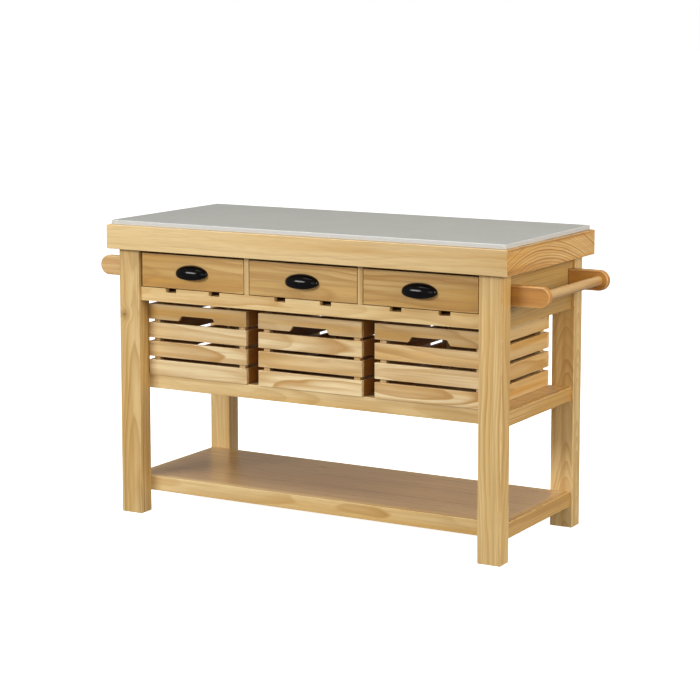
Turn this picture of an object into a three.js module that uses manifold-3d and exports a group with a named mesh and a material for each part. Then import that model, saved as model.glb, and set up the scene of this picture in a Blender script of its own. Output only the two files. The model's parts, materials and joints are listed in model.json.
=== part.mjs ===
// Kitchen island cart: a stone-topped pine work table with three drawers, three pull-out slatted crates,
// a bottom shelf and a towel rail at each end. Millimetres, +Z up, origin at the centre of the footprint on the
// floor. +X runs along the front from left to right, and -Y points out of the front.
import * as THREE from 'three';
import { mergeVertices } from 'three/addons/utils/BufferGeometryUtils.js';
import Module from 'manifold-3d';

const wasm = await Module();
wasm.setup();

// ---- Driving dimensions -------------------------------------------------------------------------------------
const HEIGHT = 900;             // floor to the top of the slab
const TOP_WIDTH = 1336;         // outside of the top's box, X
const TOP_DEPTH = 600;          // outside of the top's box, Y
const TOP_BOX_HEIGHT = 73;
const TOP_BOARD = 22;           // thickness of the top's boards
const SLAB_THICKNESS = 14;
const SLAB_INSET = 11;          // slab's edge in from the top's box
const SUB_TOP = 18;

const LEG_SPAN_X = 1282;        // outside of the legs, X
const LEG_SPAN_Y = 546;         // outside of the legs, Y
const LEG_X = 72;
const LEG_Y = 54;

const BOARD = 20;               // thickness of aprons, rails and drawer fronts
const DIVIDER = 16;
const APRON_BOTTOM = 658;
const APRON_INSET = 11;         // apron's outer face in from the legs' outer face
const BACK_APRON_INSET = 9;

const RAIL_TOP = 699;           // rail under the drawers
const DRAWER_ROW_INSET = 9;     // face of the rail, the drawers and the dividers in from the legs' front face
const NOTCH_WIDTH = 38;
const NOTCH_DEPTH = 12;
const NOTCH_OFFSET = 77;        // notch centre to drawer centre
const DECK = 9;

const DRAWER_PITCH = 382;
const DRAWER_WIDTH = 362;
const DRAWER_TOP = 803;
const DRAWER_GAP = 2;           // clearance under a drawer front
const DRAWER_BOX_WIDTH = 340;
const DRAWER_BOX_HEIGHT = 80;
const DRAWER_BOX_BACK = 230;    // Y of the drawer's back end
const DRAWER_SIDE = 12;
const DRAWER_BOTTOM = 6;
const STRIP_WIDTH = 28;         // guide strips under a drawer
const STRIP_SETBACK = 60;       // strips' front ends back from the drawer front's inner face

const TRAY_INSET = 8;           // crate shelf's and bottom shelf's ends in from the legs' outer face
const CRATE_SHELF_TOP = 425;
const CRATE_SHELF_RAIL = 42;
const CRATE_SHELF_PANEL = 12;
const BOTTOM_SHELF_TOP = 109;
const BOTTOM_SHELF_RAIL = 45;
const BOTTOM_SHELF_PANEL = 15;

const CRATE_WIDTH = 350;
const CRATE_DEPTH = 430;
const CRATE_PITCH = 392;
const CRATE_FRONT = -226;       // Y of a crate's front face, a little in front of the legs' back faces
const CRATE_SLATS = 4;
const SLAT_HEIGHT = 47;
const SLAT_GAP = 10;
const SLAT_THICKNESS = 12;
const POST = 20;
const CRATE_BASE = 9;
const HANDLE_TOP_WIDTH = 112;
const HANDLE_BOTTOM_WIDTH = 134;
const HANDLE_HEIGHT = 16;

const BRACKET_LENGTH = 125;     // from the side apron to the bracket's round end
const BRACKET_HEIGHT = 60;
const BRACKET_THICKNESS = 22;
const BRACKET_CENTRE_Y = 203;
const BRACKET_CENTRE_Z = 750;
const BAR_DIAMETER = 28;
const SOCKET_DEPTH = 12;

const PULL_Z = 749;             // height of the cup pull's pointed ends
const PULL_HALF_WIDTH = 56;
const PULL_REACH = 26;
const PULL_RISE = 26.5;          // top of the cup above its ends
const PULL_WALL = 2.5;
const PULL_LIP_SLOPE = 0.8;     // fall of the open edge for each millimetre it stands out

const SLIDE_CLEARANCE = 0.5;    // under the drawers' strips and under the crates
const SOCKET_CLEARANCE = 0.3;
const ARC_STEPS = 20;

// ---- Derived places -----------------------------------------------------------------------------------------
const legX = LEG_SPAN_X / 2;
const legY = LEG_SPAN_Y / 2;
const bayX = legX - LEG_X;                    // legs' inner faces
const bayY = legY - LEG_Y;
const topBoxTop = HEIGHT - SLAB_THICKNESS;
const topBoxBottom = topBoxTop - TOP_BOX_HEIGHT;
const subTopBottom = topBoxTop - SUB_TOP;
const railFront = -legY + DRAWER_ROW_INSET;
const railBack = railFront + BOARD;
const notchBottom = RAIL_TOP - NOTCH_DEPTH;
const drawerBottom = RAIL_TOP + DRAWER_GAP;
const apronX = legX - APRON_INSET;
const backApron = legY - BACK_APRON_INSET - BOARD;
const trayX = legX - TRAY_INSET;
const crateHeight = CRATE_SLATS * SLAT_HEIGHT + (CRATE_SLATS - 1) * SLAT_GAP;

// ---- Materials ----------------------------------------------------------------------------------------------
function wood(colour) {
  return new THREE.MeshStandardMaterial({ color: colour, roughness: 0.55, metalness: 0 });
}

const stone = () => new THREE.MeshStandardMaterial({ color: 0xafb0ab, roughness: 0.45, metalness: 0 });
const blackMetal = () => new THREE.MeshStandardMaterial({ color: 0x141211, roughness: 0.25, metalness: 0.6 });
const topPine = () => wood(0xdcc292);
const framePine = () => wood(0xceaf74);
const railPine = () => wood(0xd9bd8c);
const drawerPine = () => wood(0xc5a05f);
const cratePine = () => wood(0xcca876);
const shelfPine = () => wood(0xa58d73);
const rodPine = () => wood(0xb07e41);
const innerWood = () => wood(0xc8a878);

// ---- Building blocks ----------------------------------------------------------------------------------------
const cart = new THREE.Group();

function addMesh(name, geometry, material) {
  const mesh = new THREE.Mesh(geometry, material);
  mesh.name = name;
  cart.add(mesh);
  return mesh;
}

function boxGeometry(x, y, z) {
  const geometry = new THREE.BoxGeometry(x[1] - x[0], y[1] - y[0], z[1] - z[0]);
  geometry.translate((x[0] + x[1]) / 2, (y[0] + y[1]) / 2, (z[0] + z[1]) / 2);
  return geometry;
}

function addBoard(name, x, y, z, material) {
  return addMesh(name, boxGeometry(x, y, z), material);
}

function outline(points) {
  return new THREE.Shape(points.map(([a, b]) => new THREE.Vector2(a, b)));
}

// A shape drawn in X and Y, standing from z[0] to z[1].
function plateXY(shape, z) {
  const geometry = new THREE.ExtrudeGeometry(shape, { depth: z[1] - z[0], bevelEnabled: false });
  geometry.translate(0, 0, z[0]);
  return geometry;
}

// A shape drawn in X and Z, running from y[0] to y[1].
function plateXZ(shape, y, curveSegments = ARC_STEPS) {
  const geometry = new THREE.ExtrudeGeometry(shape, { depth: y[1] - y[0], bevelEnabled: false, curveSegments });
  geometry.rotateX(Math.PI / 2);
  geometry.translate(0, y[1], 0);
  return geometry;
}

// A shape drawn in Y and Z, running from x[0] to x[1].
function plateYZ(shape, x) {
  const geometry = new THREE.ExtrudeGeometry(shape, { depth: x[1] - x[0], bevelEnabled: false });
  const turn = new THREE.Matrix4().makeBasis(
    new THREE.Vector3(0, 1, 0),
    new THREE.Vector3(0, 0, 1),
    new THREE.Vector3(1, 0, 0),
  );
  geometry.applyMatrix4(turn);
  geometry.translate(x[0], 0, 0);
  return geometry;
}

function toSolid(geometry) {
  const bare = geometry.clone();
  bare.deleteAttribute('normal');
  bare.deleteAttribute('uv');
  const merged = mergeVertices(bare, 1e-4);
  return new wasm.Manifold(new wasm.Mesh({
    numProp: 3,
    vertProperties: new Float32Array(merged.attributes.position.array),
    triVerts: new Uint32Array(merged.index.array),
  }));
}

function toGeometry(solid) {
  const mesh = solid.getMesh();
  const geometry = new THREE.BufferGeometry();
  geometry.setAttribute('position', new THREE.BufferAttribute(new Float32Array(mesh.vertProperties), 3));
  geometry.setIndex(new THREE.BufferAttribute(new Uint32Array(mesh.triVerts), 1));
  geometry.computeVertexNormals();
  return geometry;
}

function joined(geometries) {
  return toGeometry(geometries.map(toSolid).reduce((sum, solid) => sum.add(solid)));
}

// ---- Top ----------------------------------------------------------------------------------------------------
function buildTop() {
  const x = TOP_WIDTH / 2;
  const y = TOP_DEPTH / 2;
  const ix = x - TOP_BOARD;
  const iy = y - TOP_BOARD;
  const z = [topBoxBottom, topBoxTop];
  const corners = {
    top_board_front: [[-x, -y], [x, -y], [ix, -iy], [-ix, -iy]],
    top_board_back: [[-ix, iy], [ix, iy], [x, y], [-x, y]],
    top_board_left: [[-x, -y], [-ix, -iy], [-ix, iy], [-x, y]],
    top_board_right: [[ix, -iy], [x, -y], [x, y], [ix, iy]],
  };
  for (const [name, points] of Object.entries(corners)) {
    addMesh(name, plateXY(outline(points), z), topPine());
  }
  addBoard('sub_top_panel', [-ix, ix], [-iy, iy], [subTopBottom, topBoxTop], innerWood());
  const sx = x - SLAB_INSET;
  const sy = y - SLAB_INSET;
  addBoard('stone_slab', [-sx, sx], [-sy, sy], [topBoxTop, HEIGHT], stone());
}

// ---- Legs and aprons ----------------------------------------------------------------------------------------
function span(side, inner, outer) {
  return side < 0 ? [-outer, -inner] : [inner, outer];
}

function buildLegs() {
  for (const [yName, ySide] of [['front', -1], ['back', 1]]) {
    for (const [xName, xSide] of [['left', -1], ['right', 1]]) {
      addBoard(
        `leg_${yName}_${xName}`,
        span(xSide, bayX, legX),
        span(ySide, bayY, legY),
        [0, subTopBottom],
        framePine(),
      );
    }
  }
}

function buildAprons() {
  const z = [APRON_BOTTOM, subTopBottom];
  addBoard('apron_left', [-apronX, -apronX + BOARD], [-bayY, bayY], z, framePine());
  addBoard('apron_right', [apronX - BOARD, apronX], [-bayY, bayY], z, framePine());
  addBoard('apron_back', [-bayX, bayX], [backApron, backApron + BOARD], z, framePine());
}

// ---- Drawer bay ---------------------------------------------------------------------------------------------
function buildDrawerRail() {
  const points = [[-bayX, APRON_BOTTOM], [bayX, APRON_BOTTOM], [bayX, RAIL_TOP]];
  for (const drawer of [1, 0, -1]) {
    for (const side of [1, -1]) {
      const centre = drawer * DRAWER_PITCH + side * NOTCH_OFFSET;
      const right = centre + NOTCH_WIDTH / 2;
      const left = centre - NOTCH_WIDTH / 2;
      points.push([right, RAIL_TOP], [right, notchBottom], [left, notchBottom], [left, RAIL_TOP]);
    }
  }
  points.push([-bayX, RAIL_TOP]);
  addMesh('drawer_rail', plateXZ(outline(points), [railFront, railBack]), railPine());
}

function buildDeckAndDividers() {
  const insideX = apronX - BOARD;
  const deck = [
    [-bayX, railBack], [bayX, railBack], [bayX, -bayY], [insideX, -bayY], [insideX, bayY], [bayX, bayY],
    [bayX, backApron], [-bayX, backApron], [-bayX, bayY], [-insideX, bayY], [-insideX, -bayY], [-bayX, -bayY],
  ];
  addMesh('drawer_deck', plateXY(outline(deck), [notchBottom - DECK, notchBottom]), innerWood());

  const divider = [
    [railFront, RAIL_TOP], [railBack, RAIL_TOP], [railBack, notchBottom], [backApron, notchBottom],
    [backApron, subTopBottom], [railFront, subTopBottom],
  ];
  for (const [name, side] of [['left', -1], ['right', 1]]) {
    const centre = side * DRAWER_PITCH / 2;
    const x = [centre - DIVIDER / 2, centre + DIVIDER / 2];
    addMesh(`drawer_divider_${name}`, plateYZ(outline(divider), x), framePine());
  }
}

// ---- Drawers ------------------------------------------------------------------------------------------------
function buildDrawerBox(name, centre) {
  const outer = DRAWER_BOX_WIDTH / 2;
  const inner = outer - DRAWER_SIDE;
  const sideTop = drawerBottom + DRAWER_BOX_HEIGHT;
  const y = [railBack, DRAWER_BOX_BACK];
  addBoard(
    `${name}_front`,
    [centre - DRAWER_WIDTH / 2, centre + DRAWER_WIDTH / 2],
    [railFront, railBack],
    [drawerBottom, DRAWER_TOP],
    drawerPine(),
  );
  addBoard(`${name}_side_left`, [centre - outer, centre - inner], y, [drawerBottom, sideTop], innerWood());
  addBoard(`${name}_side_right`, [centre + inner, centre + outer], y, [drawerBottom, sideTop], innerWood());
  addBoard(
    `${name}_back`,
    [centre - inner, centre + inner],
    [DRAWER_BOX_BACK - DRAWER_SIDE, DRAWER_BOX_BACK],
    [drawerBottom + DRAWER_BOTTOM, sideTop],
    innerWood(),
  );

  const z = [drawerBottom, drawerBottom + DRAWER_BOTTOM];
  const stripY = [railBack + STRIP_SETBACK, DRAWER_BOX_BACK];
  const stripZ = [notchBottom + SLIDE_CLEARANCE, z[1]];
  const pieces = [boxGeometry([centre - inner, centre + inner], y, z)];
  for (const side of [-1, 1]) {
    const strip = centre + side * NOTCH_OFFSET;
    pieces.push(boxGeometry([strip - STRIP_WIDTH / 2, strip + STRIP_WIDTH / 2], stripY, stripZ));
  }
  addMesh(`${name}_bottom`, joined(pieces), innerWood());
}

function ellipsoid(x, y, z) {
  const geometry = new THREE.SphereGeometry(1, 36, 24);
  geometry.scale(x, y, z);
  return toSolid(geometry);
}

// A cup pull: the front of a thin-walled ellipsoid, open underneath along an edge that falls as it stands out.
function pullGeometry() {
  const outer = ellipsoid(PULL_HALF_WIDTH, PULL_REACH, PULL_RISE);
  const inner = ellipsoid(PULL_HALF_WIDTH - 2 * PULL_WALL, PULL_REACH - PULL_WALL, PULL_RISE - PULL_WALL);
  const far = 2 * PULL_HALF_WIDTH;
  const kept = outline([[0, 0], [0, far], [-far, far], [-far, -PULL_LIP_SLOPE * far]]);
  const cup = outer.subtract(inner).intersect(toSolid(plateYZ(kept, [-far, far])));
  return toGeometry(cup);
}

function buildDrawers() {
  const pull = pullGeometry();
  [-1, 0, 1].forEach((place, index) => {
    const name = `drawer_${index + 1}`;
    const centre = place * DRAWER_PITCH;
    buildDrawerBox(name, centre);
    const mesh = addMesh(`${name}_pull`, pull.clone(), blackMetal());
    mesh.position.set(centre, railFront, PULL_Z);
  });
}

// ---- Crate shelf and bottom shelf ---------------------------------------------------------------------------
function buildTray(name, top, railHeight, panelThickness, railMaterial, panelMaterial) {
  const z = [top - railHeight, top];
  const innerX = trayX - BOARD;
  const innerY = bayY - BOARD;
  addBoard(`${name}_rail_left`, [-trayX, -innerX], [-bayY, bayY], z, railMaterial());
  addBoard(`${name}_rail_right`, [innerX, trayX], [-bayY, bayY], z, railMaterial());
  addBoard(`${name}_rail_front`, [-innerX, innerX], [-bayY, -innerY], z, railMaterial());
  addBoard(`${name}_rail_back`, [-innerX, innerX], [innerY, bayY], z, railMaterial());
  addBoard(`${name}_panel`, [-innerX, innerX], [-innerY, innerY], [top - panelThickness, top], panelMaterial());
}

// ---- Crates -------------------------------------------------------------------------------------------------
function slatLevels(bottom) {
  return Array.from({ length: CRATE_SLATS }, (_, level) => {
    const low = bottom + level * (SLAT_HEIGHT + SLAT_GAP);
    return [low, low + SLAT_HEIGHT];
  });
}

function handleSlat(centre, outer, y, [low, high]) {
  const foot = HANDLE_BOTTOM_WIDTH / 2;
  const head = HANDLE_TOP_WIDTH / 2;
  const points = [
    [-outer, low], [-foot, low], [-head, low + HANDLE_HEIGHT], [head, low + HANDLE_HEIGHT], [foot, low],
    [outer, low], [outer, high], [-outer, high],
  ];
  return plateXZ(outline(points.map(([x, z]) => [centre + x, z])), y);
}

function buildCrate(name, centre) {
  const bottom = CRATE_SHELF_TOP + SLIDE_CLEARANCE;
  const z = [bottom, bottom + crateHeight];
  const outer = CRATE_WIDTH / 2;
  const wall = outer - SLAT_THICKNESS;
  const post = wall - POST;
  const back = CRATE_FRONT + CRATE_DEPTH;
  const innerFront = CRATE_FRONT + SLAT_THICKNESS;
  const innerBack = back - SLAT_THICKNESS;
  const levels = slatLevels(bottom);

  const frontPieces = levels.map((level, index) => {
    if (index === CRATE_SLATS - 1) return handleSlat(centre, outer, [CRATE_FRONT, innerFront], level);
    return boxGeometry([centre - outer, centre + outer], [CRATE_FRONT, innerFront], level);
  });
  const bodyPieces = levels.map((level) => {
    return boxGeometry([centre - outer, centre + outer], [innerBack, back], level);
  });
  for (const side of [-1, 1]) {
    const postX = span(side, post, wall).map((x) => centre + x);
    frontPieces.push(boxGeometry(postX, [innerFront, innerFront + POST], z));
    bodyPieces.push(boxGeometry(postX, [innerBack - POST, innerBack], z));
    const slatX = span(side, wall, outer).map((x) => centre + x);
    for (const level of levels) bodyPieces.push(boxGeometry(slatX, [innerFront, innerBack], level));
  }
  addMesh(`${name}_front`, joined(frontPieces), cratePine());
  addMesh(`${name}_body`, joined(bodyPieces), cratePine());

  const base = [
    [-post, innerFront], [post, innerFront], [post, innerFront + POST], [wall, innerFront + POST],
    [wall, innerBack - POST], [post, innerBack - POST], [post, innerBack], [-post, innerBack],
    [-post, innerBack - POST], [-wall, innerBack - POST], [-wall, innerFront + POST], [-post, innerFront + POST],
  ];
  const shape = outline(base.map(([x, y]) => [centre + x, y]));
  addMesh(`${name}_base`, plateXY(shape, [bottom, bottom + CRATE_BASE]), innerWood());
}

function buildCrates() {
  [-1, 0, 1].forEach((place, index) => buildCrate(`crate_${index + 1}`, place * CRATE_PITCH));
}

// ---- Towel rails --------------------------------------------------------------------------------------------
function bracketGeometry(side, y, socketSide) {
  const radius = BRACKET_HEIGHT / 2;
  const arcX = apronX + BRACKET_LENGTH - radius;
  const shape = new THREE.Shape();
  shape.moveTo(apronX, BRACKET_CENTRE_Z - radius);
  shape.lineTo(arcX, BRACKET_CENTRE_Z - radius);
  shape.absarc(arcX, BRACKET_CENTRE_Z, radius, -Math.PI / 2, Math.PI / 2, false);
  shape.lineTo(apronX, BRACKET_CENTRE_Z + radius);
  const body = toSolid(plateXZ(shape, y));
  const depth = SOCKET_DEPTH + SOCKET_CLEARANCE;
  const socket = new THREE.CylinderGeometry(
    BAR_DIAMETER / 2 + SOCKET_CLEARANCE,
    BAR_DIAMETER / 2 + SOCKET_CLEARANCE,
    2 * depth,
    2 * ARC_STEPS,
  );
  socket.translate(arcX, socketSide > 0 ? y[1] : y[0], BRACKET_CENTRE_Z);
  let solid = body.subtract(toSolid(socket));
  if (side < 0) solid = solid.mirror([1, 0, 0]);
  return toGeometry(solid);
}

function buildTowelRail(name, side) {
  const half = BRACKET_THICKNESS / 2;
  const front = [-BRACKET_CENTRE_Y - half, -BRACKET_CENTRE_Y + half];
  const back = [BRACKET_CENTRE_Y - half, BRACKET_CENTRE_Y + half];
  addMesh(`towel_bracket_${name}_front`, bracketGeometry(side, front, 1), rodPine());
  addMesh(`towel_bracket_${name}_back`, bracketGeometry(side, back, -1), rodPine());
  const length = back[0] - front[1] + 2 * SOCKET_DEPTH;
  const bar = new THREE.CylinderGeometry(BAR_DIAMETER / 2, BAR_DIAMETER / 2, length, 2 * ARC_STEPS);
  const mesh = addMesh(`towel_bar_${name}`, bar, rodPine());
  mesh.position.set(side * (apronX + BRACKET_LENGTH - BRACKET_HEIGHT / 2), 0, BRACKET_CENTRE_Z);
}

// ---- Assembly -----------------------------------------------------------------------------------------------
buildTop();
buildLegs();
buildAprons();
buildDrawerRail();
buildDeckAndDividers();
buildDrawers();
buildTray('crate_shelf', CRATE_SHELF_TOP, CRATE_SHELF_RAIL, CRATE_SHELF_PANEL, railPine, innerWood);
buildTray('bottom_shelf', BOTTOM_SHELF_TOP, BOTTOM_SHELF_RAIL, BOTTOM_SHELF_PANEL, railPine, shelfPine);
buildCrates();
buildTowelRail('left', -1);
buildTowelRail('right', 1);

export default cart;
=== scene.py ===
import json
import math
import random

import bmesh
import bpy
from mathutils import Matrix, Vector

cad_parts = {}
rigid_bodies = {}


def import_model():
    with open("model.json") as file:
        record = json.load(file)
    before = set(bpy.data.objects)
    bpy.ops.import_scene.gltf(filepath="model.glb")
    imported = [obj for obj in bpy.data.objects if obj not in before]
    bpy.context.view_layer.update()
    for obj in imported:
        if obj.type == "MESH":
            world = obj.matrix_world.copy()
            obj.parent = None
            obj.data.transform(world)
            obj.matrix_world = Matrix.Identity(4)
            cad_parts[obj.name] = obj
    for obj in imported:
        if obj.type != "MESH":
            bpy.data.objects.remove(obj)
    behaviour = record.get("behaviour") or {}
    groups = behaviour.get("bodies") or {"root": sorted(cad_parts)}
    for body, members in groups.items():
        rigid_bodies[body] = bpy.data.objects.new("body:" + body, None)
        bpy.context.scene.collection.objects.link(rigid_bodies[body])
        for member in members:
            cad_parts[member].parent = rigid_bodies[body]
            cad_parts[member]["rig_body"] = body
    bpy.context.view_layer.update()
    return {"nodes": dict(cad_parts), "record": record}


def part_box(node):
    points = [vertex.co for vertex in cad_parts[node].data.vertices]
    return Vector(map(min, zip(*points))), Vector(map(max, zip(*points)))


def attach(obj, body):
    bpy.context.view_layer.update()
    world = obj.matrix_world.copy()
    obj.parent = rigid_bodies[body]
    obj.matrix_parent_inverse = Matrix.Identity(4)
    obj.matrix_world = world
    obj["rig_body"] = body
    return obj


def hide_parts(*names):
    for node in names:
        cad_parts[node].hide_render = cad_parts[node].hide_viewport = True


# A kitchen island cart. Metres, +Z up, the front faces -Y. Every piece stands where its CAD node is.
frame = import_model()

NODES = frame["nodes"]
SLOT_OF = {row["node"]: row["material_slot"] for row in frame["record"]["subparts"]}
X, Y, Z = 0, 1, 2

# ---- Sizes of the woodwork that the node boxes don't give --------------------------------------------------
EDGE = 0.0016                # rounding of a planed board's edges
LEG_EDGE = 0.0028
DRAWER_EDGE = 0.0024
SLAT_EDGE = 0.0014
SLAB_EDGE = 0.0022
TOP_CORNER = 0.003           # rounding of the top box's upright corners
BOARD_THICKNESS = 0.022      # boards of the top's box
NOTCH_WIDTH = 0.038
NOTCH_DEPTH = 0.012
NOTCH_OFFSET = 0.077         # middle of a notch from the middle of its drawer
STRIP_WIDTH = 0.028          # guide strips under a drawer
STRIP_SETBACK = 0.060        # strips' front ends back from the drawer front
DRAWER_BOTTOM = 0.006
SLATS = 4
SLAT_HEIGHT = 0.047
SLAT_GAP = 0.010
SLAT_THICKNESS = 0.012
POST = 0.020
HANDLE_TOP = 0.112           # width of the hand hole at its upper edge
HANDLE_BOTTOM = 0.134        # and at its lower edge
HANDLE_HEIGHT = 0.016
HANDLE_ROUND = 0.004
BASE_PLANKS = 5              # full planks of a crate's base
BRACKET_EDGE = 0.004
TIP_STEPS = 18               # steps round a towel bracket's end
SOCKET_DEPTH = 0.012         # the CAD bar runs this far into its brackets, and the visual bar ends at them


# ---- Shader nodes ------------------------------------------------------------------------------------------
class Shader:
    """Builds one material's node tree with plain calls. A number or a socket can be given for any input."""

    def __init__(self, name):
        self.material = bpy.data.materials.new(name)
        self.material.use_nodes = True
        self.tree = self.material.node_tree
        self.surface = self.tree.nodes["Principled BSDF"]

    def add(self, kind, inputs=(), **settings):
        node = self.tree.nodes.new(kind)
        for key, value in settings.items():
            setattr(node, key, value)
        for key, value in dict(inputs).items():
            self.put(value, node.inputs[key])
        return node

    def put(self, value, socket):
        if isinstance(value, bpy.types.NodeSocket):
            self.tree.links.new(value, socket)
        else:
            socket.default_value = value

    def set(self, **values):
        for key, value in values.items():
            self.put(value, self.surface.inputs[key.replace("_", " ")])

    def attribute(self, name, output="Vector"):
        return self.add("ShaderNodeAttribute", attribute_name=name).outputs[output]

    def split(self, vector):
        return self.add("ShaderNodeSeparateXYZ", {0: vector}).outputs

    def math(self, operation, *values):
        return self.add("ShaderNodeMath", enumerate(values), operation=operation).outputs[0]

    def stretch(self, vector, scale):
        return self.add("ShaderNodeVectorMath", {0: vector, 1: scale}, operation="MULTIPLY").outputs[0]

    def noise(self, vector, detail=2.0, roughness=0.5, scale=1.0):
        inputs = {"Vector": vector, "Scale": scale, "Detail": detail, "Roughness": roughness}
        return self.add("ShaderNodeTexNoise", inputs).outputs["Fac"]

    def spread(self, value, low, high, to_low=0.0, to_high=1.0):
        node = self.add("ShaderNodeMapRange", interpolation_type="SMOOTHSTEP")
        for index, item in enumerate((value, low, high, to_low, to_high)):
            self.put(item, node.inputs[index])
        return node.outputs[0]

    def ramp(self, value, stops):
        node = self.add("ShaderNodeValToRGB", {0: value})
        elements = node.color_ramp.elements
        while len(elements) < len(stops):
            elements.new(0.5)
        for element, (place, level) in zip(elements, stops):
            element.position = place
            element.color = (level, level, level, 1)
        return node.outputs["Color"]

    def mix(self, factor, a, b, blend="MIX"):
        node = self.add("ShaderNodeMix", data_type="RGBA", blend_type=blend)
        self.put(factor, node.inputs[0])
        self.put(a, node.inputs[6])
        self.put(b, node.inputs[7])
        return node.outputs[2]

    def bump(self, height, strength, distance):
        inputs = {"Height": height, "Strength": strength, "Distance": distance}
        return self.add("ShaderNodeBump", inputs).outputs["Normal"]


# ---- Materials ---------------------------------------------------------------------------------------------
RING_SPACING = 0.0085
RING_STOPS = ((0.0, 0.0), (0.25, 0.05), (0.72, 0.62), (0.9, 1.0), (1.0, 0.0))
KNOT_REACH = 0.034           # how far from a knot's rim the rings bend round it
KNOT_COLOUR = (0.10, 0.040, 0.014, 1)
KNOT_SWIRL = 2.4             # how far a knot pushes the rings away, in knot radii
CROOK = 0.036                # how far the log's slow bends move the rings
RIPPLE = 0.006               # how far the finer waves move them
TAPER = 0.012                # how much a ring's radius shrinks for each metre along the log
YEAR_SCALE = 45.0            # how fast one year's growth differs from the next
YEAR_SHIFT = 2.6             # how far uneven years move a ring, in rings
RING_STRENGTH = 1.6
DRIFT_STRENGTH = 1.4
WARMTH_OFFSET = -0.3
WARMING = 0.55               # how much drift and warmth together pull the colour to the warm one
LEVEL = 1.06                 # brightness of a board whose tone is 0
AGED_AND_SHADED_FROM = 1.2              # a board whose warmth is over this has begun to redden, with age, and as painted shade on the crate walls that face another crate
AGED_AND_SHADED_TO = 2.2                # and over this it has reddened fully
AGED_AND_SHADED_GREEN = 0.76
AGED_AND_SHADED_BLUE = 0.5
HALO_REACH = 0.020
HALO_STRENGTH = 0.7
CORE_STRENGTH = 0.6


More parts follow.
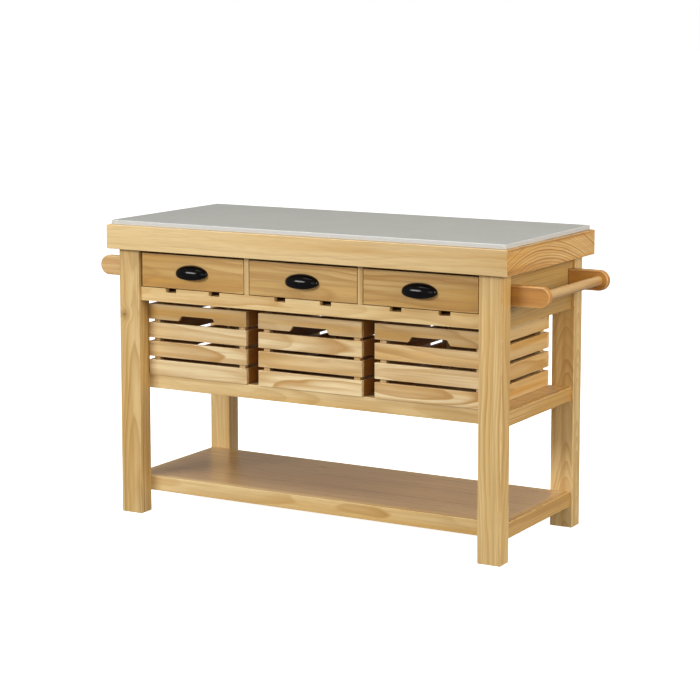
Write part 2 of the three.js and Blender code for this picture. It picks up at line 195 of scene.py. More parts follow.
def pine(name, early, late, warm, contrast=1.0, roughness=0.40, coat=0.2):
    """Softwood cut from a log: yearly rings round the pith, bent and broken up by fibres, and some knots."""
    s = Shader(name)
    grain = s.attribute("grain_at")
    figure = s.split(s.attribute("figure_at"))
    tone = s.split(s.attribute("board_tone"))
    knot_size = s.attribute("knot_size", "Fac")
    edge = s.attribute("edge_wear", "Fac")
    at = s.split(grain)

    # Distance from the pith, which the log's crooks, its taper, the board's bow and a knot all change.
    from_pith = s.math("SQRT", s.math("ADD", s.math("POWER", at[Y], 2.0), s.math("POWER", at[Z], 2.0)))
    crook = s.math("SUBTRACT", s.noise(s.stretch(grain, (1.7, 7.0, 7.0)), 1.5), 0.5)
    ripple = s.math("SUBTRACT", s.noise(s.stretch(grain, (7.0, 30.0, 30.0)), 1.0), 0.5)
    bow = s.math("MULTIPLY", s.math("POWER", figure[X], 2.0), figure[Z])
    reach = s.math("SQRT", s.math("ADD", s.math("POWER", figure[X], 2.0), s.math("POWER", figure[Y], 2.0)))
    beyond = s.math("SUBTRACT", reach, knot_size)
    near_knot = s.spread(beyond, 0.0, KNOT_REACH, 1.0, 0.0)
    swirl = s.math("MULTIPLY", near_knot, s.math("MULTIPLY", knot_size, KNOT_SWIRL))
    radius = s.math("ADD", from_pith, s.math("MULTIPLY", crook, CROOK))
    radius = s.math("ADD", radius, s.math("MULTIPLY", ripple, RIPPLE))
    radius = s.math("ADD", radius, s.math("ADD", bow, swirl))
    radius = s.math("ADD", radius, s.math("MULTIPLY", at[X], TAPER))

    # Rings are unevenly spaced and unevenly strong.
    years = s.add("ShaderNodeCombineXYZ", {0: s.math("MULTIPLY", radius, YEAR_SCALE)}).outputs[0]
    uneven = s.math("MULTIPLY", s.noise(years, 1.0), YEAR_SHIFT)
    turns = s.math("ADD", s.math("DIVIDE", radius, RING_SPACING), uneven)
    ring = s.ramp(s.math("FRACT", turns), RING_STOPS)
    strong = s.spread(s.noise(s.stretch(years, (2.3, 1.0, 1.0)), 1.0), 0.36, 0.68, 0.3, 1.0)
    patchy = s.spread(s.noise(s.stretch(grain, (2.5, 16.0, 16.0)), 2.0), 0.3, 0.7, 0.45, 1.0)
    dark = s.math("MULTIPLY", s.math("MULTIPLY", ring, strong), s.math("MULTIPLY", patchy, tone[Z]))
    dark = s.math("MULTIPLY", dark, RING_STRENGTH * contrast)

    fibre = s.noise(s.stretch(grain, (14.0, 560.0, 560.0)), 3.0, 0.6)
    streak = s.noise(s.stretch(grain, (2.0, 70.0, 70.0)), 2.0)
    drift = s.spread(s.noise(s.stretch(grain, (1.1, 22.0, 22.0)), 2.0), 0.38, 0.68)
    warmth = s.math("ADD", tone[Y], WARMTH_OFFSET)
    blush = s.math("ADD", s.math("MULTIPLY", drift, DRIFT_STRENGTH), warmth)
    colour = s.mix(s.math("MULTIPLY", blush, WARMING), (*early, 1), (*warm, 1))
    colour = s.mix(dark, colour, (*late, 1))
    streaky = s.math("MULTIPLY", s.spread(streak, 0.44, 0.70, 0.0, 0.6), tone[Z])
    colour = s.mix(streaky, colour, (*late, 1))
    colour = s.mix(s.spread(fibre, 0.42, 0.74, 0.0, 0.22), colour, tuple(0.7 * c for c in late) + (1,))

    # A knot has a reddish halo and a dark middle.
    is_knot = s.spread(knot_size, 0.0005, 0.001)
    halo = s.math("MULTIPLY", s.spread(beyond, -0.001, HALO_REACH, HALO_STRENGTH, 0.0), is_knot)
    colour = s.mix(halo, colour, tuple(0.6 * c for c in warm) + (1,))
    core = s.math("MULTIPLY", s.spread(beyond, -0.003, 0.001, CORE_STRENGTH, 0.0), is_knot)
    colour = s.mix(core, colour, KNOT_COLOUR)

    # A board's tone sets its brightness, and high warmth reddens it. The dark, red crate walls that face
    # another crate are painted shade.
    level = s.math("ADD", tone[X], LEVEL)
    green = s.math("MULTIPLY", level, s.spread(tone[Y], AGED_AND_SHADED_FROM, AGED_AND_SHADED_TO, 1.0, AGED_AND_SHADED_GREEN))
    blue = s.math("MULTIPLY", level, s.spread(tone[Y], AGED_AND_SHADED_FROM, AGED_AND_SHADED_TO, 1.0, AGED_AND_SHADED_BLUE))
    bright = s.add("ShaderNodeCombineColor", {0: level, 1: green, 2: blue}).outputs[0]
    colour = s.mix(1.0, colour, bright, "MULTIPLY")
    scuffs = s.spread(s.noise(s.stretch(grain, (30.0, 60.0, 60.0)), 2.0), 0.35, 0.6, 0.1, 0.4)
    rubbed = s.math("MULTIPLY", edge, scuffs)
    colour = s.mix(rubbed, colour, tuple(min(1.0, 1.25 * c + 0.04) for c in early) + (1,))

    gloss = s.math("ADD", s.math("MULTIPLY", fibre, 0.14), s.math("MULTIPLY", dark, -0.06))
    height = s.math("ADD", s.math("MULTIPLY", fibre, 0.6), s.math("MULTIPLY", dark, 0.35))
    s.set(Base_Color=colour, Roughness=s.math("ADD", gloss, roughness - 0.07))
    s.set(Coat_Weight=coat, Coat_Roughness=0.3)
    s.set(Normal=s.bump(height, 0.35, 0.0004))
    return s.material


def honed_stone():
    s = Shader("honed stone")
    place = s.add("ShaderNodeTexCoord").outputs["Object"]
    cloud = s.noise(place, 3.0, 0.55, 9.0)
    speck = s.noise(place, 3.0, 0.7, 520.0)
    crystal = s.add("ShaderNodeTexVoronoi", {"Vector": place, "Scale": 420.0}).outputs["Color"]
    colour = s.mix(s.spread(cloud, 0.3, 0.7), (0.410, 0.421, 0.398, 1), (0.430, 0.441, 0.418, 1))
    colour = s.mix(s.spread(speck, 0.52, 0.72, 0.0, 0.35), colour, (0.30, 0.305, 0.29, 1))
    colour = s.mix(s.spread(s.split(crystal)[X], 0.86, 0.93, 0.0, 0.4), colour, (0.56, 0.56, 0.54, 1))
    s.set(Base_Color=colour, Roughness=s.spread(speck, 0.3, 0.7, 0.42, 0.52))
    s.set(Normal=s.bump(speck, 0.12, 0.0002))
    return s.material


def stone_edge():
    s = Shader("polished stone edge")
    place = s.add("ShaderNodeTexCoord").outputs["Object"]
    speck = s.noise(place, 3.0, 0.7, 480.0)
    colour = s.mix(s.spread(speck, 0.4, 0.72), (0.60, 0.61, 0.61, 1), (0.52, 0.53, 0.53, 1))
    s.set(Base_Color=colour, Roughness=s.spread(speck, 0.3, 0.7, 0.25, 0.34))
    s.set(Normal=s.bump(speck, 0.08, 0.0002))
    return s.material


def black_enamel():
    s = Shader("black enamel")
    place = s.add("ShaderNodeTexCoord").outputs["Object"]
    ripple = s.noise(place, 2.0, 0.5, 60.0)
    colour = s.mix(s.spread(ripple, 0.35, 0.7), (0.002, 0.0017, 0.002, 1), (0.004, 0.0035, 0.004, 1))
    s.set(Base_Color=colour, Roughness=s.spread(ripple, 0.3, 0.7, 0.10, 0.14), Specular_IOR_Level=0.2)
    s.set(Normal=s.bump(ripple, 0.03, 0.0002))
    return s.material


MATERIALS = {
    "pine_top": pine("pine top", (0.71, 0.53, 0.26), (0.36, 0.165, 0.036), (0.62, 0.345, 0.085)),
    "pine_frame": pine("pine frame", (0.68, 0.49, 0.22), (0.44, 0.245, 0.070), (0.58, 0.345, 0.090)),
    "pine_rail": pine("pine rail", (0.71, 0.53, 0.26), (0.46, 0.255, 0.070), (0.60, 0.345, 0.085)),
    "pine_drawer": pine("pine drawer", (0.64, 0.425, 0.155), (0.44, 0.225, 0.055), (0.55, 0.300, 0.060)),
    "pine_crate": pine("pine crate", (0.75, 0.60, 0.35), (0.47, 0.265, 0.085), (0.62, 0.350, 0.085)),
    "pine_shelf": pine(
        "pine shelf", (0.58, 0.37, 0.165), (0.43, 0.255, 0.100), (0.56, 0.325, 0.125),
        contrast=0.6, roughness=0.3, coat=0.3,
    ),
    "towel_rail": pine("towel rail pine", (0.61, 0.41, 0.185), (0.40, 0.170, 0.032), (0.61, 0.290, 0.050)),
    "inner_wood": pine(
        "inner pine", (0.60, 0.40, 0.18), (0.45, 0.25, 0.08), (0.56, 0.32, 0.10),
        contrast=0.8, roughness=0.55, coat=0.0,
    ),
    "stone": honed_stone(),
    "black_enamel": black_enamel(),
}


# ---- Solids ------------------------------------------------------------------------------------------------
SHARP = math.radians(25)     # an edge that turns by more than this is rounded
EDGE_STEPS = 3


def rounded(outline, corners, radius, steps=4):
    """The outline with the corners at the given indices turned into arcs."""
    points = []
    for index, corner in enumerate(outline):
        corner = Vector(corner)
        if index not in corners:
            points.append(corner)
            continue
        before = (Vector(outline[index - 1]) - corner).normalized()
        after = (Vector(outline[(index + 1) % len(outline)]) - corner).normalized()
        half = before.angle(after) / 2
        centre = corner + (before + after).normalized() * radius / math.sin(half)
        start = corner + before * radius / math.tan(half) - centre
        end = corner + after * radius / math.tan(half) - centre
        for step in range(steps + 1):
            points.append(centre + start.slerp(end, step / steps).normalized() * radius)
    return points


def prism(outline, axis, low, high, edge, plain=()):
    """A solid with that outline across axis, from low to high. Its sharp edges are rounded, apart from those
    on the outline's sides whose indices are in plain. The faces of the rounding are tagged."""
    others = [a for a in (X, Y, Z) if a != axis]
    solid = bmesh.new()
    rings = []
    for level in (low, high):
        ring = []
        for point in outline:
            place = Vector((0.0, 0.0, 0.0))
            place[others[0]], place[others[1]], place[axis] = point[0], point[1], level
            ring.append(solid.verts.new(place))
        rings.append(ring)
    bottom, top = rings
    solid.faces.new(bottom)
    solid.faces.new(top)
    sides = []
    for index in range(len(outline)):
        after = (index + 1) % len(outline)
        sides.append(solid.faces.new((bottom[index], bottom[after], top[after], top[index])))
    bmesh.ops.recalc_face_normals(solid, faces=solid.faces)
    kept = {e for index in plain for e in sides[index].edges}
    sharp = [e for e in solid.edges if e not in kept and e.calc_face_angle() > SHARP]
    worn = bmesh.ops.bevel(solid, geom=sharp, offset=edge, segments=EDGE_STEPS, profile=0.5, affect="EDGES")
    for face in worn["faces"]:
        face.tag = True
    return solid


def rectangle(a, b):
    return [(a[0], a[1]), (b[0], a[1]), (b[0], b[1]), (a[0], b[1])]


def block(low, high, edge=EDGE):
    return prism(rectangle(low, high), Z, low[Z], high[Z], edge)


def rod(axis, low, high, centre, radius, edge, steps=40):
    """A round rod along axis, with eased ends."""
    turns = [2 * math.pi * step / steps for step in range(steps)]
    outline = [(centre[0] + radius * math.cos(turn), centre[1] + radius * math.sin(turn)) for turn in turns]
    return prism(outline, axis, low, high, edge)


# ---- Boards ------------------------------------------------------------------------------------------------
LOG_LENGTH = 40              # length of log that the place of a board is drawn from
PITH_DEPTH = (0.05, 0.14)    # how far behind a board's middle the pith lies, across its thinner side
TONE_SPREAD = 0.035
WARMTH_RANGE = (-0.25, 0.35)
CONTRAST_RANGE = (0.65, 1.0)


class Boards:
    """One mesh made of boards. Every vertex keeps its place in the log, the way to the middle of its board's
    figure, and the board's tone, and the pine materials read those."""

    def __init__(self, name):
        self.name = name
        self.random = random.Random(name)
        self.points, self.faces, self.edge_wear = [], [], []
        self.vectors = {"grain_at": [], "figure_at": [], "board_tone": []}
        self.knot_size = []

    def add(self, solid, along, pith=None, tone=None, warmth=None, contrast=None, fade=(0.0, 0.0),
            figure=None, bow=0.0, knot=0.0):
        """along is the grain's axis. pith is the way from the board's centre to the log's, across the grain.
        fade is how much tone and warmth grow from one end of the board to the other. figure is the middle of
        the board's arches or of its knot, bow how fast the arches close, and knot the knot's radius."""
        pick = self.random
        across = [a for a in (X, Y, Z) if a != along]
        low = Vector([min(v.co[a] for v in solid.verts) for a in (X, Y, Z)])
        high = Vector([max(v.co[a] for v in solid.verts) for a in (X, Y, Z)])
        centre = (low + high) / 2
        size = high - low
        wide = across[0] if size[across[0]] > size[across[1]] else across[1]
        # All of these are drawn for every board, so that giving one its looks doesn't change the next one's.
        begin, side, depth = pick.uniform(0, LOG_LENGTH), pick.uniform(-0.5, 0.5), pick.uniform(*PITH_DEPTH)
        drawn = (pick.gauss(0, TONE_SPREAD), pick.uniform(*WARMTH_RANGE), pick.uniform(*CONTRAST_RANGE))
        if pith is None:
            pith = [side * size[a] if a == wide else depth for a in across]
        tones = [drawn[i] if given is None else given for i, given in enumerate((tone, warmth, contrast))]
        figure = centre if figure is None else Vector(figure)
        first = len(self.points)
        for vert in solid.verts:
            self.points.append(vert.co.copy())
            place = [vert.co[a] - centre[a] for a in across]
            self.vectors["grain_at"].append((vert.co[along] + begin, place[0] - pith[0], place[1] - pith[1]))
            away = (vert.co[along] - figure[along], vert.co[wide] - figure[wide])
            self.vectors["figure_at"].append((*away, bow))
            part = (vert.co[along] - centre[along]) / size[along]
            faded = (tones[0] + fade[0] * part, tones[1] + fade[1] * part)
            self.vectors["board_tone"].append((*faded, tones[2]))
            self.knot_size.append(knot)
        solid.verts.index_update()
        for face in solid.faces:
            self.faces.append([first + v.index for v in face.verts])
            self.edge_wear.append(1.0 if face.tag else 0.0)
        solid.free()
        return self

    def build(self, *nodes):
        """Makes the object. It stands for these CAD nodes, rides on their body and takes their finish."""
        mesh = bpy.data.meshes.new(self.name)
        mesh.from_pydata(self.points, [], self.faces)
        for name, rows in self.vectors.items():
            layer = mesh.attributes.new(name, "FLOAT_VECTOR", "POINT")
            layer.data.foreach_set("vector", [value for row in rows for value in row])
        mesh.attributes.new("knot_size", "FLOAT", "POINT").data.foreach_set("value", self.knot_size)
        mesh.attributes.new("edge_wear", "FLOAT", "FACE").data.foreach_set("value", self.edge_wear)
        mesh.materials.append(MATERIALS[SLOT_OF[nodes[0]]])
        return place_piece(self.name, mesh, nodes)


def place_piece(name, mesh, nodes):
    mesh.update()
    mesh.shade_smooth()
    piece = bpy.data.objects.new(name, mesh)
    bpy.context.scene.collection.objects.link(piece)
    shading = piece.modifiers.new("even shading", "WEIGHTED_NORMAL")
    shading.keep_sharp = True
    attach(piece, NODES[nodes[0]]["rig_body"])
    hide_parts(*nodes)
    return piece


def longest(node):
    low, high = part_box(node)
    return max((X, Y, Z), key=lambda axis: high[axis] - low[axis])


def plain_board(node, edge=EDGE, **cut):
    """A single board that fills its node's box, with its grain along the longest side."""
    low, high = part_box(node)
    Boards("pine_" + node).add(block(low, high, edge), longest(node), **cut).build(node)


# ---- Top ---------------------------------------------------------------------------------------------------
FACES_UP = 0.98              # upward part of a face's normal, over which it belongs to the honed top


def build_slab():
    """The slab is honed on top and polished round its edge."""
    low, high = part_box("stone_slab")
    outline = rounded(rectangle(low, high), range(4), SLAB_EDGE * 2)
    solid = prism(outline, Z, low[Z], high[Z], SLAB_EDGE)
    mesh = bpy.data.meshes.new("stone_top")
    solid.to_mesh(mesh)
    solid.free()
    mesh.materials.append(MATERIALS["stone"])
    mesh.materials.append(stone_edge())
    for face in mesh.polygons:
        face.material_index = 0 if face.normal.z > FACES_UP else 1
    place_piece("stone_top", mesh, ["stone_slab"])


def build_top_box():
    """Four boards mitred at the corners. The upright corners are rounded, half on each board."""
    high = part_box("top_board_right")[1]
    x, y = high[X], high[Y]
    inner_x, inner_y = x - BOARD_THICKNESS, y - BOARD_THICKNESS
    turns = [math.radians(turn) for turn in (45, 60, 75, 90)]
    arc = [(TOP_CORNER * (1 - math.sin(turn)), TOP_CORNER * (1 - math.cos(turn))) for turn in turns]
    looks = {
        # The front board's fade paints light falling off along the front: lighter and paler at the left end,
        # darker and warmer at the right end.
        "front": dict(pith=(0.11, 0.05), tone=-0.01, contrast=0.2, warmth=-0.4, fade=(-0.18, 2.3)),
        "back": dict(),
        "left": dict(),
        "right": dict(
            pith=(-0.02, -0.10), tone=0.12, contrast=1.6, warmth=1.0, figure=(x, -0.06, 0.0), bow=0.8,
        ),
    }
    for name, look in looks.items():
        low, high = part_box("top_board_" + name)
        side = -1 if name in ("front", "left") else 1
        if name in ("front", "back"):
            outer = [(x - along, side * (y - away)) for away, along in arc]
            outline = [(inner_x, side * inner_y), *outer, *[(-a, b) for a, b in reversed(outer)]]
            outline.append((-inner_x, side * inner_y))
            grain = X
        else:
            outer = [(side * (x - away), y - along) for away, along in arc]
            outline = [(side * inner_x, inner_y), *outer, *[(a, -b) for a, b in reversed(outer)]]
            outline.append((side * inner_x, -inner_y))
            grain = Y
        mitres = (0, len(outline) - 2)       # the outline's sides that meet the next boards
        solid = prism(outline, Z, low[Z], high[Z], EDGE, plain=mitres)
        Boards("pine_top_board_" + name).add(solid, grain, **look).build("top_board_" + name)
    plain_board("sub_top_panel")


# ---- Legs, aprons and drawer bay ---------------------------------------------------------------------------
def build_stand():
    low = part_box("leg_front_left")[0]
    knot = (low[X] + 0.017, low[Y], 0.612)
    arches = (0.0, 0.0, -2.0)            # far below the floor, so that the arches all point up
    looks = {
        "front_left": dict(
            pith=(0.014, 0.02), tone=0.03, contrast=1.0, warmth=-0.1, figure=knot, knot=0.005,
        ),
        "front_right": dict(pith=(-0.06, 0.02), tone=0.07, contrast=0.8, warmth=-0.1),
        "back_left": dict(tone=0.15, warmth=-0.2),
        "back_right": dict(
            pith=(0.012, 0.004), tone=0.05, contrast=0.8, warmth=0.2, figure=arches, bow=0.03,
        ),
    }
    for place, look in looks.items():
        plain_board("leg_" + place, LEG_EDGE, **look)
    plain_board("apron_left")
    plain_board("apron_right", pith=(0.01, 0.01), tone=-0.2, contrast=1.4, warmth=1.2)
    plain_board("apron_back")
    plain_board("drawer_deck")
    for side in ("left", "right"):
        build_divider("drawer_divider_" + side)
    build_drawer_rail()


def build_divider(node):
    low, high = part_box(node)
    rail_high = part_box("drawer_rail")[1]
    outline = [
        (low[Y], rail_high[Z]), (rail_high[Y], rail_high[Z]), (rail_high[Y], low[Z]), (high[Y], low[Z]),
        (high[Y], high[Z]), (low[Y], high[Z]),
    ]
    Boards("pine_" + node).add(prism(outline, X, low[X], high[X], EDGE), Z).build(node)


def build_drawer_rail():
    low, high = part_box("drawer_rail")
    points = [(low[X], low[Z]), (high[X], low[Z]), (high[X], high[Z])]
    for number in (3, 2, 1):
        front_low, front_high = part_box(f"drawer_{number}_front")
        centre = (front_low[X] + front_high[X]) / 2
        for side in (1, -1):
            right = centre + side * NOTCH_OFFSET + NOTCH_WIDTH / 2
            left = right - NOTCH_WIDTH
            foot = high[Z] - NOTCH_DEPTH
            points += [(right, high[Z]), (right, foot), (left, foot), (left, high[Z])]
    points.append((low[X], high[Z]))
    solid = prism(points, Y, low[Y], high[Y], EDGE / 2)
    # The rail's fade paints light falling off along the front: lighter and paler at the left end, darker and
    # warmer at the right end.
    rail = Boards("pine_drawer_rail").add(solid, X, tone=0.09, warmth=-0.6, contrast=0.8, fade=(-0.20, 2.6))
    rail.build("drawer_rail")


# ---- Drawers -----------------------------------------------------------------------------------------------
DRAWER_LOOKS = {
    1: dict(tone=0.04, contrast=1.1, warmth=0.4, fade=(0.03, -1.8)),
    2: dict(tone=-0.02, contrast=1.1, warmth=0.2),
    3: dict(tone=-0.10, contrast=1.7, warmth=0.6, fade=(-0.05, 0.6)),
}


def build_drawer(number):
    name = f"drawer_{number}"
    plain_board(name + "_front", DRAWER_EDGE, **DRAWER_LOOKS[number])
    for part in ("side_left", "side_right", "back"):
        plain_board(f"{name}_{part}")
    low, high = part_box(name + "_bottom")
    floor = high[Z] - DRAWER_BOTTOM
    bottom = Boards(f"pine_{name}_bottom")
    bottom.add(block((low[X], low[Y], floor), high, EDGE / 4), X)
    centre = (low[X] + high[X]) / 2
    for side in (-1, 1):
        middle = centre + side * NOTCH_OFFSET
        strip_low = (middle - STRIP_WIDTH / 2, low[Y] + STRIP_SETBACK, low[Z])
        strip_high = (middle + STRIP_WIDTH / 2, high[Y], floor)
        bottom.add(block(strip_low, strip_high, EDGE / 2), Y)
    bottom.build(name + "_bottom")
    build_pull(number)


PULL_SLOPE = 0.8             # fall of the pull's open edge for each metre it stands out
PULL_RISE = 0.0265           # top of the pull above its ends
PULL_POINT = 0.94            # 1 gives the ends of an ellipse, and less gives blunter ones
PULL_WALL = 0.0022
PULL_BEAD = 0.04             # how far the open edge is rolled outwards, as a part of the reach
PULL_RIM = 0.35              # rounding of the rim, as a part of the wall
PULL_RIM_ANGLE = math.radians(50)
PULL_TIP = 0.01              # part of the half turn that is left out at each end
PULL_ACROSS = 56             # steps along the pull
PULL_ROUND = 24              # steps round its dome


def build_pull(number):
    """A cup pull: a thin-walled oval dome, open underneath, with a rolled edge."""
    node = f"drawer_{number}_pull"
    low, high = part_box(node)
    half = (high[X] - low[X]) / 2
    centre = (low[X] + high[X]) / 2
    reach = (high[Y] - low[Y]) / (1 + PULL_BEAD)
    level = high[Z] - PULL_RISE
    last = math.pi - math.atan2(PULL_RISE, PULL_SLOPE * reach)
    mesh = bmesh.new()
    rows = []
    for i in range(PULL_ACROSS + 1):
        along = math.pi * (PULL_TIP + (1 - 2 * PULL_TIP) * i / PULL_ACROSS)
        size = math.sin(along) ** PULL_POINT
        row = []
        for j in range(PULL_ROUND + 1):
            turn = last * j / PULL_ROUND
            bead = max(0.0, 1 - abs(j - PULL_ROUND + 1) / 2)     # fullest one step short of the open edge
            rolled = size * (1 + PULL_BEAD * bead)
            out, up = reach * rolled * math.sin(turn), PULL_RISE * rolled * math.cos(turn)
            place = (centre - half * math.cos(along), high[Y] - out, max(level + up, low[Z]))
            row.append(mesh.verts.new(place))
        rows.append(row)
    for before, after in zip(rows, rows[1:]):
        for j in range(PULL_ROUND):
            mesh.faces.new((before[j], after[j], after[j + 1], before[j + 1]))
    bmesh.ops.recalc_face_normals(mesh, faces=mesh.faces)
    data = bpy.data.meshes.new(f"cup_pull_{number}")
    mesh.to_mesh(data)
    mesh.free()
    data.materials.append(MATERIALS["black_enamel"])
    piece = place_piece(f"cup_pull_{number}", data, [node])
    wall = piece.modifiers.new("wall", "SOLIDIFY")
    wall.thickness = PULL_WALL
    wall.offset = -1.0
    wall.use_even_offset = True
    rim = piece.modifiers.new("eased rim", "BEVEL")
    rim.width = PULL_WALL * PULL_RIM
    rim.segments = 2
    rim.limit_method = "ANGLE"
    rim.angle_limit = PULL_RIM_ANGLE


# ---- Shelves -----------------------------------------------------------------------------------------------
RAIL_LOOKS = {
    # The front rail's fade paints light falling off along the front: lighter and paler at the left end,
    # darker and warmer at the right end.
    "front": dict(tone=0.07, contrast=0.65, warmth=0.1, fade=(-0.11, 1.4)),
    "back": dict(),
    "left": dict(),
    "right": dict(pith=(0.008, 0.004), tone=0.0, contrast=1.6, warmth=1.3),
}


def build_shelf(name, planks):
    for side, look in RAIL_LOOKS.items():
        plain_board(f"{name}_rail_{side}", EDGE, **look)
    low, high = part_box(name + "_panel")
    panel = Boards(f"pine_{name}_panel")
    depth = (high[Y] - low[Y]) / planks
    for number in range(planks):
        front = low[Y] + number * depth
        panel.add(block((low[X], front, low[Z]), (high[X], front + depth, high[Z]), EDGE / 5), X)
    panel.build(name + "_panel")


# ---- Crates ------------------------------------------------------------------------------------------------
def handle_slat(low, high):
    """The top front slat, with the hand hole cut into its lower edge."""
    centre = (low[X] + high[X]) / 2
    foot, head = HANDLE_BOTTOM / 2, HANDLE_TOP / 2
    roof = low[Z] + HANDLE_HEIGHT
    points = [
        (low[X], low[Z]), (centre - foot, low[Z]), (centre - head, roof), (centre + head, roof),
        (centre + foot, low[Z]), (high[X], low[Z]), (high[X], high[Z]), (low[X], high[Z]),
    ]
    return prism(rounded(points, (1, 2, 3, 4), HANDLE_ROUND), Y, low[Y], high[Y], SLAT_EDGE)


# The front slats' tone and warmth, from the lowest slat up. Each crate's top slat is darker and warmer:
# painted shade under the drawer rail.
SLAT_LOOKS = {
    1: ((0.07, -0.5), (0.07, 0.3), (0.10, -0.2), (-0.11, 0.9)),
    2: ((0.14, -1.4), (0.03, 0.5), (0.09, -0.2), (-0.06, 0.6)),
    3: ((0.10, 0.1), (0.12, -0.9), (0.09, 0.2), (-0.12, 1.2)),
}
# The side walls' tone and warmth. Those that face another crate are painted darker and redder: painted shade
# in the narrow gap between crates.
SHADE_BETWEEN_CRATES = (-0.36, 2.2)
WALL_LOOKS = {
    1: {"left": (-0.1, 1.8), "right": SHADE_BETWEEN_CRATES},
    2: {"left": SHADE_BETWEEN_CRATES, "right": SHADE_BETWEEN_CRATES},
    3: {"left": SHADE_BETWEEN_CRATES, "right": (0.04, 1.0)},
}


def build_crate(number):
    name = f"crate_{number}"
    front_low, front_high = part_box(name + "_front")
    body_low, body_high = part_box(name + "_body")
    inner = front_low[Y] + SLAT_THICKNESS
    walls = {side: Boards(f"pine_{name}_{side}") for side in ("front", "back", "left", "right")}
    for level in range(SLATS):
        foot = front_low[Z] + level * (SLAT_HEIGHT + SLAT_GAP)
        top = foot + SLAT_HEIGHT
        low = Vector((front_low[X], front_low[Y], foot))
        high = Vector((front_high[X], inner, top))
        slat = handle_slat(low, high) if level == SLATS - 1 else block(low, high, SLAT_EDGE)
        tone, warmth = SLAT_LOOKS[number][level]
        arches = (walls["front"].random.uniform(low[X], high[X]), low[Y], foot)
        walls["front"].add(slat, X, tone=tone, warmth=warmth, figure=arches, contrast=1.0, bow=0.08)
        back_low = (body_low[X], body_high[Y] - SLAT_THICKNESS, foot)
        back_high = (body_high[X], body_high[Y], top)
        walls["back"].add(block(back_low, back_high, SLAT_EDGE), X)
        for side, start in (("left", body_low[X]), ("right", body_high[X] - SLAT_THICKNESS)):
            end = start + SLAT_THICKNESS
            slat = block((start, inner, foot), (end, body_high[Y] - SLAT_THICKNESS, top), SLAT_EDGE)
            tone, warmth = WALL_LOOKS[number][side]
            walls[side].add(slat, Y, tone=tone, warmth=warmth)
    for start in (front_low[X] + SLAT_THICKNESS, front_high[X] - SLAT_THICKNESS - POST):
        post = block((start, inner, front_low[Z]), (start + POST, inner + POST, front_high[Z]), SLAT_EDGE)
        walls["front"].add(post, Z)
        rear = body_high[Y] - SLAT_THICKNESS
        post = block((start, rear - POST, body_low[Z]), (start + POST, rear, body_high[Z]), SLAT_EDGE)
        walls["back"].add(post, Z)
    walls["front"].build(name + "_front")
    for side in ("back", "left", "right"):
        walls[side].build(name + "_body")
    build_crate_base(name)


def build_crate_base(name):
    """Full planks from the front posts to the back posts, and a shorter one between each pair of posts."""
    low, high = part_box(name + "_base")
    base = Boards(f"pine_{name}_base")
    inner = (low[Y] + POST, high[Y] - POST)
    depth = (inner[1] - inner[0]) / BASE_PLANKS
    for number in range(BASE_PLANKS):
        front = inner[0] + number * depth
        base.add(block((low[X], front, low[Z]), (high[X], front + depth, high[Z]), EDGE / 3), X)
    for front, back in ((low[Y], inner[0]), (inner[1], high[Y])):
        base.add(block((low[X] + POST, front, low[Z]), (high[X] - POST, back, high[Z]), EDGE / 3), X)
    base.build(name + "_base")


# ---- Towel rails -------------------------------------------------------------------------------------------
def build_towel_rail(side):
    sign = -1 if side == "left" else 1
    for place in ("front", "back"):
        node = f"towel_bracket_{side}_{place}"
        low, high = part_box(node)
        radius = (high[Z] - low[Z]) / 2
        middle = (high[Z] + low[Z]) / 2
        root = low[X] if sign > 0 else high[X]
        tip = high[X] if sign > 0 else low[X]
        centre = tip - sign * radius
        turns = [math.pi * (step / TIP_STEPS - 0.5) for step in range(TIP_STEPS + 1)]
        arc = [(centre + sign * radius * math.cos(turn), middle + radius * math.sin(turn)) for turn in turns]
        outline = [(root, low[Z]), *arc, (root, high[Z])]
        solid = prism(outline, Y, low[Y], high[Y], BRACKET_EDGE)
        tone, warmth, contrast = (-0.03, 1.3, 1.7) if sign > 0 else (0.16, -2.0, 0.5)
        Boards("pine_" + node).add(solid, X, tone=tone, warmth=warmth, contrast=contrast).build(node)
    node = f"towel_bar_{side}"
    low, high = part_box(node)
    centre = ((low[X] + high[X]) / 2, (low[Z] + high[Z]) / 2)
    ends = (low[Y] + SOCKET_DEPTH, high[Y] - SOCKET_DEPTH)
    bar = rod(Y, ends[0], ends[1], centre, (high[Z] - low[Z]) / 2, EDGE / 4)
    Boards("pine_" + node).add(bar, Y, tone=-0.06, warmth=-0.6).build(node)


# ---- The whole cart ----------------------------------------------------------------------------------------
build_slab()
build_top_box()
build_stand()
for number in (1, 2, 3):
    build_drawer(number)
    build_crate(number)
build_shelf("crate_shelf", 3)
build_shelf("bottom_shelf", 1)
build_towel_rail("left")
build_towel_rail("right")


# ---- Floor, light and camera -------------------------------------------------------------------------------
FLOOR_REACH = 60.0           # half the floor's side
FLOOR_GLOW = 0.92
ROOM_LIGHT = 0.29
ROOM_COLOUR = (1.0, 0.965, 0.92, 1)
KEY_POWER = 365
FILL_POWER = 50
SIDE_POWER = 170
TOP_POWER = 92


def build_floor():
    """A pale floor that glows nearly white, so that it meets the white behind it with no line."""
    shader = Shader("pale floor")
    place = shader.add("ShaderNodeTexCoord").outputs["Object"]
    mottle = shader.noise(place, 3.0, 0.5, 6.0)
    shader.set(Base_Color=shader.mix(mottle, (0.90, 0.90, 0.90, 1), (0.93, 0.93, 0.93, 1)), Roughness=0.8)
    shader.set(Emission_Color=(1, 1, 1, 1), Emission_Strength=FLOOR_GLOW)
    mesh = bpy.data.meshes.new("floor")
    corners = [(-1, -1), (1, -1), (1, 1), (-1, 1)]
    mesh.from_pydata([(FLOOR_REACH * x, FLOOR_REACH * y, 0) for x, y in corners], [], [(0, 1, 2, 3)])
    mesh.materials.append(shader.material)
    floor = bpy.data.objects.new("floor", mesh)
    floor.visible_diffuse = False
    floor.visible_glossy = False
    bpy.context.scene.collection.objects.link(floor)


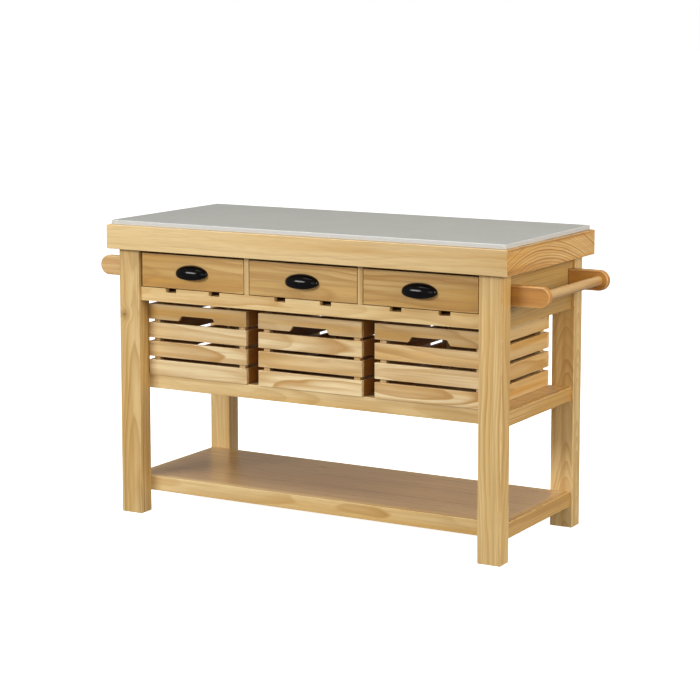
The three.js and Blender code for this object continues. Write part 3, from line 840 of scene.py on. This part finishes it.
def build_world():
    """White where the camera looks past the object, and a dim warm room for every other ray."""
    world = bpy.data.worlds.new("studio")
    bpy.context.scene.world = world
    world.use_nodes = True
    nodes, links = world.node_tree.nodes, world.node_tree.links
    seen = nodes["Background"]
    seen.inputs["Color"].default_value = (1, 1, 1, 1)
    seen.inputs["Strength"].default_value = 1.0
    around = nodes.new("ShaderNodeBackground")
    around.inputs["Color"].default_value = ROOM_COLOUR
    around.inputs["Strength"].default_value = ROOM_LIGHT
    path = nodes.new("ShaderNodeLightPath")
    either = nodes.new("ShaderNodeMixShader")
    links.new(path.outputs["Is Camera Ray"], either.inputs[0])
    links.new(around.outputs[0], either.inputs[1])
    links.new(seen.outputs[0], either.inputs[2])
    links.new(either.outputs[0], nodes["World Output"].inputs["Surface"])


def add_softbox(name, place, target, size, power, colour=(1, 1, 1)):
    light = bpy.data.lights.new(name, "AREA")
    light.shape = "RECTANGLE"
    light.size, light.size_y = size
    light.energy = power
    light.color = colour
    box = bpy.data.objects.new(name, light)
    box.location = place
    box.rotation_euler = (Vector(target) - Vector(place)).to_track_quat("-Z", "Y").to_euler()
    bpy.context.scene.collection.objects.link(box)


def build_lights():
    middle = (0, 0, 0.5)
    add_softbox("key", (-3.4, -6.8, 3.1), middle, (3.8, 1.7), KEY_POWER, (1.0, 0.99, 0.97))
    add_softbox("fill", (3.6, -6.4, 2.2), middle, (3.4, 2.6), FILL_POWER, (1.0, 0.99, 0.97))
    add_softbox("side", (5.2, -0.9, 2.3), (0.3, 0, 0.5), (2.6, 2.2), SIDE_POWER, (1.0, 0.93, 0.81))
    add_softbox("overhead", (0.2, -0.8, 4.6), middle, (3.4, 2.6), TOP_POWER, (1.0, 0.99, 0.98))


CAMERA_PLACE = (3.0212, -5.2751, 1.5460)
CAMERA_YAW = math.radians(29.74)
CAMERA_PITCH = math.radians(-6.84)
CAMERA_LENS = 105.5
CAMERA_SHIFT = -0.143


def build_camera():
    camera = bpy.data.cameras.new("camera")
    camera.sensor_width = 36.0
    camera.lens = CAMERA_LENS
    camera.shift_y = CAMERA_SHIFT
    camera.clip_end = 100
    holder = bpy.data.objects.new("camera", camera)
    holder.location = CAMERA_PLACE
    holder.rotation_euler = (math.pi / 2 + CAMERA_PITCH, 0, CAMERA_YAW)
    bpy.context.scene.collection.objects.link(holder)
    bpy.context.scene.camera = holder


build_floor()
build_world()
build_lights()
build_camera()
bpy.context.scene.view_settings.view_transform = "Standard"
